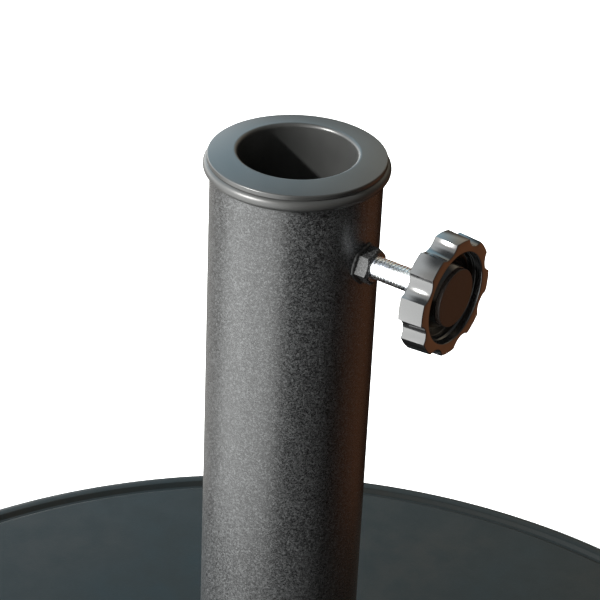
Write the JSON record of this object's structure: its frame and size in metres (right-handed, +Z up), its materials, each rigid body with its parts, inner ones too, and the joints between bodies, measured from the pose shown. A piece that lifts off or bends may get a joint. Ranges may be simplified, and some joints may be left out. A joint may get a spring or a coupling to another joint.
{
  "type": "parasol base",
  "caption": "Round weighted parasol base with an upright socket tube, a lift-out reducer bush and a hand screw that clamps the pole.",
  "frame": {"origin": "on the tube's axis, at floor level under the rubber feet", "axes": "+Z up along the tube, +X along the hand screw's axis, out to its knob"},
  "size_m": [0.532, 0.532, 0.3585],
  "materials": {
    "shell_plastic": "satin moulded skin, slightly mottled",
    "concrete": "cast ballast",
    "cover_plastic": "matt moulded sheet",
    "foot_rubber": "matt",
    "zinc_steel": "bright zinc plate",
    "socket_plastic": "plain moulded plastic",
    "tube_coat": "fine metallic powder coat",
    "insert_brass": "turned",
    "escutcheon_plastic": "satin moulded plastic",
    "seat_plastic": "matt moulded plastic",
    "collar_plastic": "satin moulded plastic",
    "bush_plastic": "satin moulded plastic",
    "nut_coat": "glossy powder coat, pooled on the weld",
    "screw_zinc": "bright zinc-plated thread",
    "knob_plastic": "glossy moulded plastic",
    "cap_plastic": "matt moulded plastic",
    "nylon": "natural nylon"
  },
  "bodies": {
    "base": {"ballast_shell": "shell_plastic", "concrete_core": "concrete", "bottom_cover": "cover_plastic", "rubber_feet": "foot_rubber", "cover_screws": "zinc_steel", "cover_sockets": "socket_plastic", "tube": "tube_coat", "foot_flange": "tube_coat", "foot_weld": "tube_coat", "flange_bolts": "zinc_steel", "flange_washers": "zinc_steel", "bolt_inserts": "insert_brass", "foot_cover": "escutcheon_plastic", "pole_seat": "seat_plastic", "top_collar": "collar_plastic", "weld_nut": "nut_coat", "nut_weld": "nut_coat"},
    "bush": {"reducer_bush": "bush_plastic"},
    "pad": {"thrust_pad": "nylon"},
    "hand_screw": {"lock_screw": "screw_zinc", "knob_body": "knob_plastic", "knob_cap": "cap_plastic"}
  },
  "joints": [
    {"name": "bush_lift", "type": "slide", "parent": "base", "child": "bush", "axis": [0, 0, 1], "range_m": [0, 0.03]},
    {"name": "screw_advance", "type": "slide", "parent": "base", "child": "pad", "axis": [-1, 0, 0], "range_m": [-0.004, 0.008]},
    {"name": "screw_turn", "type": "hinge", "parent": "pad", "child": "hand_screw", "pos_m": [0.05, 0, 0.327], "axis": [-1, 0, 0], "range_deg": [-1150, 2300]}
  ],
  "couplings": [
    {"joint": "screw_advance", "follows": "screw_turn", "m_per_rad": 0.00019894}
  ]
}
